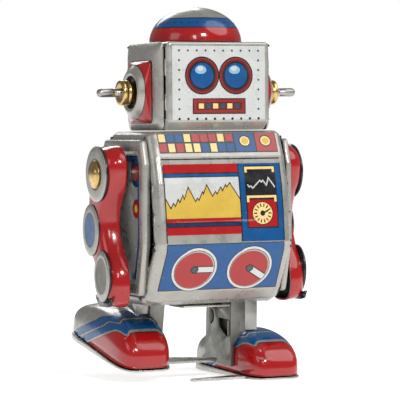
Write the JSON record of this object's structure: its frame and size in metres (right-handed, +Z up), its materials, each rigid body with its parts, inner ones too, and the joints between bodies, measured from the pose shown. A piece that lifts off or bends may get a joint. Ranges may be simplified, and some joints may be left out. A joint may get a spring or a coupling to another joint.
{
  "type": "wind-up walking robot",
  "caption": "Pressed-tin clockwork robot with a boxy head and torso, swinging arms and crank-driven walking legs on tongued feet.",
  "frame": {"origin": "bottom centre of the whole toy, on the floor that it stands on", "axes": "+Z up, -Y the way the robot faces, +X its left hand"},
  "size_m": [0.0736, 0.065, 0.12],
  "materials": {
    "paint_grey": "glossy grey enamel",
    "paint_red": "glossy red enamel",
    "tin": "bare tinplate",
    "dark_tin": "dull bare tinplate",
    "steel": "turned steel",
    "spring_steel": "blued spring steel",
    "brass": "polished brass",
    "copper": "copper-plated steel"
  },
  "bodies": {
    "frame": {"head_shell": "paint_grey", "head_side_L": "paint_grey", "head_side_R": "paint_grey", "head_dome": "paint_red", "ear_boss_L": "brass", "ear_boss_R": "brass", "ear_pin_L": "steel", "ear_pin_R": "steel", "torso_shell": "paint_grey", "torso_side_L": "paint_grey", "torso_side_R": "paint_grey", "shoulder_rivet_L": "brass", "shoulder_rivet_R": "brass", "shoulder_spacer_L": "steel", "shoulder_spacer_R": "steel", "motor_plate_front": "tin", "motor_plate_back": "tin", "motor_pillar_1": "steel", "motor_pillar_2": "steel", "motor_pillar_3": "steel", "motor_pillar_4": "steel", "motor_base": "tin", "guide_pin_L": "steel", "guide_pin_R": "steel", "mainspring": "spring_steel", "click_post": "steel"},
    "crank": {"crank_shaft": "steel", "crank_L": "copper", "crank_R": "copper", "face_gear": "brass"},
    "left_leg": {"leg_plate_L": "dark_tin", "leg_cover_L": "paint_grey", "foot_shell_L": "paint_red", "sole_L": "tin"},
    "right_leg": {"leg_plate_R": "dark_tin", "leg_cover_R": "paint_grey", "foot_shell_R": "paint_red", "sole_R": "tin"},
    "left_arm": {"arm_L": "paint_red"},
    "right_arm": {"arm_R": "paint_red"},
    "winder": {"winding_arbor": "steel", "ratchet_wheel": "steel", "winding_key": "tin"},
    "great": {"great_wheel": "brass"},
    "second": {"second_pinion": "steel", "second_wheel": "brass"},
    "third": {"third_pinion": "steel", "third_wheel": "brass"},
    "last": {"face_pinion": "steel"},
    "governor": {"governor_pinion": "steel", "governor_fan": "brass"},
    "click_arm": {"click": "steel"}
  },
  "joints": [
    {"name": "crank_turn", "type": "hinge", "parent": "frame", "child": "crank", "pos_m": [0, 0.00003, 0.02705], "axis": [1, 0, 0], "continuous": true},
    {"name": "left_leg_pin", "type": "hinge", "parent": "crank", "child": "left_leg", "pos_m": [0.0103, -0.00397, 0.0233], "axis": [1, 0, 0], "continuous": true},
    {"name": "right_leg_pin", "type": "hinge", "parent": "crank", "child": "right_leg", "pos_m": [-0.0103, 0.00403, 0.0308], "axis": [1, 0, 0], "continuous": true},
    {"name": "left_shoulder", "type": "hinge", "parent": "frame", "child": "left_arm", "pos_m": [0.0315, -0.00957, 0.0665], "axis": [1, 0, 0], "range_deg": [-90, 90]},
    {"name": "right_shoulder", "type": "hinge", "parent": "frame", "child": "right_arm", "pos_m": [-0.0315, -0.00957, 0.0665], "axis": [1, 0, 0], "range_deg": [-90, 90]},
    {"name": "winding_turn", "type": "hinge", "parent": "frame", "child": "winder", "pos_m": [0, -0.00227, 0.05635], "axis": [0, 1, 0], "continuous": true},
    {"name": "great_wheel_turn", "type": "hinge", "parent": "frame", "child": "great", "pos_m": [0, -0.01297, 0.05635], "axis": [0, 1, 0], "continuous": true},
    {"name": "second_arbor_turn", "type": "hinge", "parent": "frame", "child": "second", "pos_m": [0, -0.01297, 0.04575], "axis": [0, 1, 0], "continuous": true},
    {"name": "third_arbor_turn", "type": "hinge", "parent": "frame", "child": "third", "pos_m": [0, -0.01147, 0.03565], "axis": [0, 1, 0], "continuous": true},
    {"name": "last_arbor_turn", "type": "hinge", "parent": "frame", "child": "last", "pos_m": [0, -0.00997, 0.02705], "axis": [0, 1, 0], "continuous": true},
    {"name": "governor_turn", "type": "hinge", "parent": "frame", "child": "governor", "pos_m": [0.007, -0.00997, 0.0399], "axis": [0, 1, 0], "continuous": true},
    {"name": "click_rock", "type": "hinge", "parent": "frame", "child": "click_arm", "pos_m": [-0.0056, -0.00627, 0.0606], "axis": [0, 1, 0], "range_deg": [-25, 0]}
  ],
  "couplings": [
    {"joint": "left_leg_pin", "follows": "crank_turn", "ratio": -1},
    {"joint": "right_leg_pin", "follows": "crank_turn", "ratio": -1},
    {"joint": "last_arbor_turn", "follows": "crank_turn", "ratio": 2},
    {"joint": "third_arbor_turn", "follows": "crank_turn", "ratio": -0.83333},
    {"joint": "second_arbor_turn", "follows": "crank_turn", "ratio": 0.27778},
    {"joint": "great_wheel_turn", "follows": "crank_turn", "ratio": -0.086806},
    {"joint": "governor_turn", "follows": "crank_turn", "ratio": 2.5}
  ]
}
